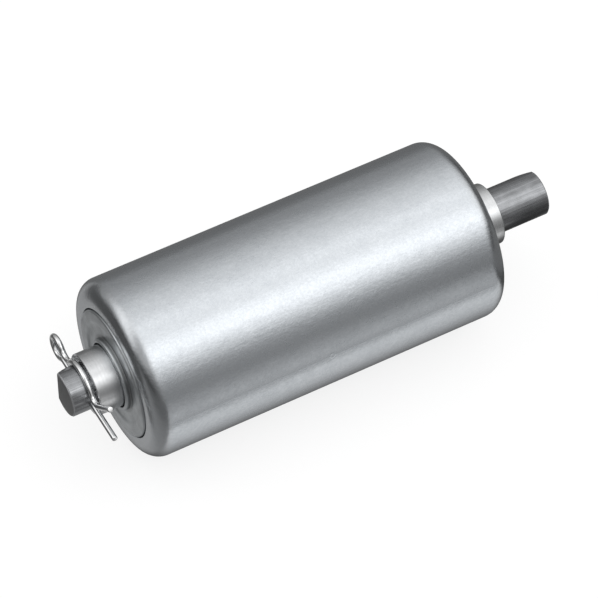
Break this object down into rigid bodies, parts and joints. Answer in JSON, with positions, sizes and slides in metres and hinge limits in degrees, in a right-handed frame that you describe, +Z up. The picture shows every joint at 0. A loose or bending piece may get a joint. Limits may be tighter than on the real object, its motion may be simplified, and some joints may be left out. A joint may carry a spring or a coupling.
{
  "type": "conveyor roller",
  "caption": "Short steel conveyor roller with rolled-in tube ends, turning on sealed ball bearings about a fixed round axle held by a hitch pin.",
  "frame": {"origin": "middle of the tube, on the centre line of the axle", "axes": "+X along the axle to its long end, +Z up, +Y to the side that the axle's sloping flats face"},
  "size_m": [0.1812, 0.0634, 0.0635],
  "materials": {
    "galvanised_tube": "galvanised, soft mottled sheen",
    "axle_steel": "cold drawn, oiled, with lengthwise streaks",
    "sleeve_steel": "turned and zinc plated",
    "shield_steel": "pressed sheet, satin",
    "race_steel": "hardened and polished",
    "ball_steel": "polished",
    "seal_rubber": "matt black",
    "spring_wire": "zinc plated wire",
    "ring_steel": "phosphated spring steel"
  },
  "bodies": {
    "fixed_axle": {"axle": "axle_steel", "axle_stop_ring": "ring_steel", "hitch_pin": "spring_wire", "left_inner_race": "sleeve_steel", "left_flinger": "shield_steel", "right_inner_race": "sleeve_steel", "right_flinger": "shield_steel"},
    "roller": {"roller_tube": "galvanised_tube", "left_bearing_case": "shield_steel", "left_outer_race_front": "race_steel", "left_outer_race_rear": "race_steel", "left_seal_ring": "seal_rubber", "left_face_shield": "shield_steel", "right_bearing_case": "shield_steel", "right_outer_race_front": "race_steel", "right_outer_race_rear": "race_steel", "right_seal_ring": "seal_rubber", "right_face_shield": "shield_steel"},
    "left_ball_set": {"left_balls": "ball_steel"},
    "right_ball_set": {"right_balls": "ball_steel"}
  },
  "joints": [
    {"name": "roller_spin", "type": "hinge", "parent": "fixed_axle", "child": "roller", "pos_m": [0, 0, 0], "axis": [1, 0, 0], "continuous": true},
    {"name": "left_balls_orbit", "type": "hinge", "parent": "fixed_axle", "child": "left_ball_set", "pos_m": [-0.05568, 0, 0], "axis": [1, 0, 0], "continuous": true},
    {"name": "right_balls_orbit", "type": "hinge", "parent": "fixed_axle", "child": "right_ball_set", "pos_m": [0.05568, 0, 0], "axis": [1, 0, 0], "continuous": true}
  ],
  "couplings": [
    {"joint": "left_balls_orbit", "follows": "roller_spin", "ratio": 0.63224},
    {"joint": "right_balls_orbit", "follows": "roller_spin", "ratio": 0.63224}
  ]
}
